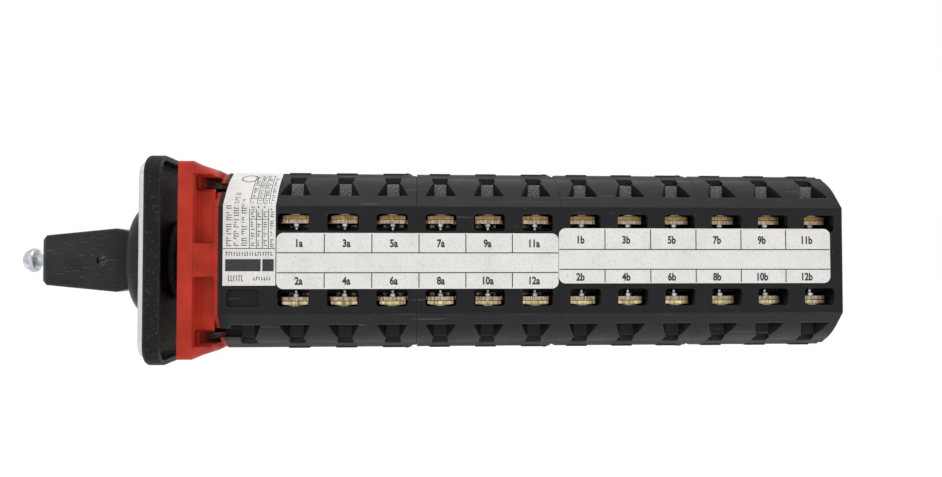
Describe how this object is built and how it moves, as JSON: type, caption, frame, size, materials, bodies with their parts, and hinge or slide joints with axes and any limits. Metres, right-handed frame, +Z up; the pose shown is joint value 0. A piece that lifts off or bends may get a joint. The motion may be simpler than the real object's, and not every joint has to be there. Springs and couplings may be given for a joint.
{
  "type": "rotary isolator switch",
  "caption": "Panel-mounted rotary cam isolator switch: grip handle, square front frame, red mounting flange and a long stack of contact chambers with screw terminals.",
  "frame": {"origin": "middle of the mounting flange's front face, on the shaft's axis", "axes": "+X along the shaft from the handle to the rear, +Z up, -Y towards the terminal side"},
  "size_m": [0.2042, 0.048, 0.048],
  "materials": {
    "black_polyamide": "moulded, satin, light wear",
    "black_textured": "moulded with a coarse spark-eroded grain",
    "black_satin": "moulded, fine scratches",
    "red_polyamide": "moulded, satin",
    "rubber": "moulded",
    "silver_sheet": "satin silver sheet",
    "zinc_steel": "bright zinc plating",
    "spring_steel": "drawn wire",
    "natural_acetal": "moulded acetal",
    "copper": "rolled copper strip",
    "nickel_plate": "nickel-plated strip",
    "brass_plate": "stamped brass",
    "paper": "printed paper film"
  },
  "bodies": {
    "housing": {"clamp_plates_1": "brass_plate", "clamp_plates_2": "brass_plate", "clamp_plates_3": "brass_plate", "clamp_plates_4": "brass_plate", "contact_springs_1": "spring_steel", "contact_springs_2": "spring_steel", "contact_springs_3": "spring_steel", "contact_springs_4": "spring_steel", "dial_plate": "silver_sheet", "fixed_contacts_1": "nickel_plate", "fixed_contacts_2": "nickel_plate", "fixed_contacts_3": "nickel_plate", "fixed_contacts_4": "nickel_plate", "front_bush": "black_polyamide", "front_frame": "black_textured", "housing_1": "black_polyamide", "housing_2": "black_polyamide", "housing_3": "black_polyamide", "housing_4": "black_polyamide", "latch_springs": "spring_steel", "mounting_flange": "red_polyamide", "panel_seal": "rubber", "rating_label": "paper", "rear_cover": "black_polyamide", "stop_plate": "zinc_steel", "terminal_label_a": "paper", "terminal_label_b": "paper", "terminal_screws_1": "zinc_steel", "terminal_screws_2": "zinc_steel", "terminal_screws_3": "zinc_steel", "terminal_screws_4": "zinc_steel", "tie_nuts": "zinc_steel", "tie_screws": "zinc_steel"},
    "rotor": {"handle": "black_satin", "handle_screw": "zinc_steel", "handle_grub_screw": "zinc_steel", "shaft": "zinc_steel", "latch_wheel": "natural_acetal", "cams_1": "natural_acetal", "cams_2": "natural_acetal", "cams_3": "natural_acetal", "cams_4": "natural_acetal"},
    "carrier_1": {"plungers_1": "natural_acetal", "contact_bridges_1": "copper"},
    "carrier_2": {"plungers_2": "natural_acetal", "contact_bridges_2": "copper"},
    "carrier_3": {"plungers_3": "natural_acetal", "contact_bridges_3": "copper"},
    "carrier_4": {"plungers_4": "natural_acetal", "contact_bridges_4": "copper"},
    "latch_near": {"latch_follower_near": "natural_acetal"},
    "latch_far": {"latch_follower_far": "natural_acetal"}
  },
  "joints": [
    {"name": "handle_turn", "type": "hinge", "parent": "housing", "child": "rotor", "pos_m": [0, 0, 0], "axis": [1, 0, 0], "range_deg": [0, 90]},
    {"name": "contacts_1_slide", "type": "slide", "parent": "housing", "child": "carrier_1", "axis": [0, 1, 0], "range_m": [0, 0.0018]},
    {"name": "contacts_2_slide", "type": "slide", "parent": "housing", "child": "carrier_2", "axis": [0, 1, 0], "range_m": [0, 0.0018]},
    {"name": "contacts_3_slide", "type": "slide", "parent": "housing", "child": "carrier_3", "axis": [0, 1, 0], "range_m": [0, 0.0018]},
    {"name": "contacts_4_slide", "type": "slide", "parent": "housing", "child": "carrier_4", "axis": [0, 1, 0], "range_m": [0, 0.0018]},
    {"name": "latch_near_slide", "type": "slide", "parent": "housing", "child": "latch_near", "axis": [0, 1, 0], "range_m": [0, 0.0008]},
    {"name": "latch_far_slide", "type": "slide", "parent": "housing", "child": "latch_far", "axis": [0, -1, 0], "range_m": [0, 0.0008]}
  ],
  "couplings": [
    {"joint": "contacts_1_slide", "follows": "handle_turn", "m_per_rad": 0.0011459},
    {"joint": "contacts_2_slide", "follows": "handle_turn", "m_per_rad": 0.0011459},
    {"joint": "contacts_3_slide", "follows": "handle_turn", "m_per_rad": 0.0011459},
    {"joint": "contacts_4_slide", "follows": "handle_turn", "m_per_rad": 0.0011459}
  ]
}
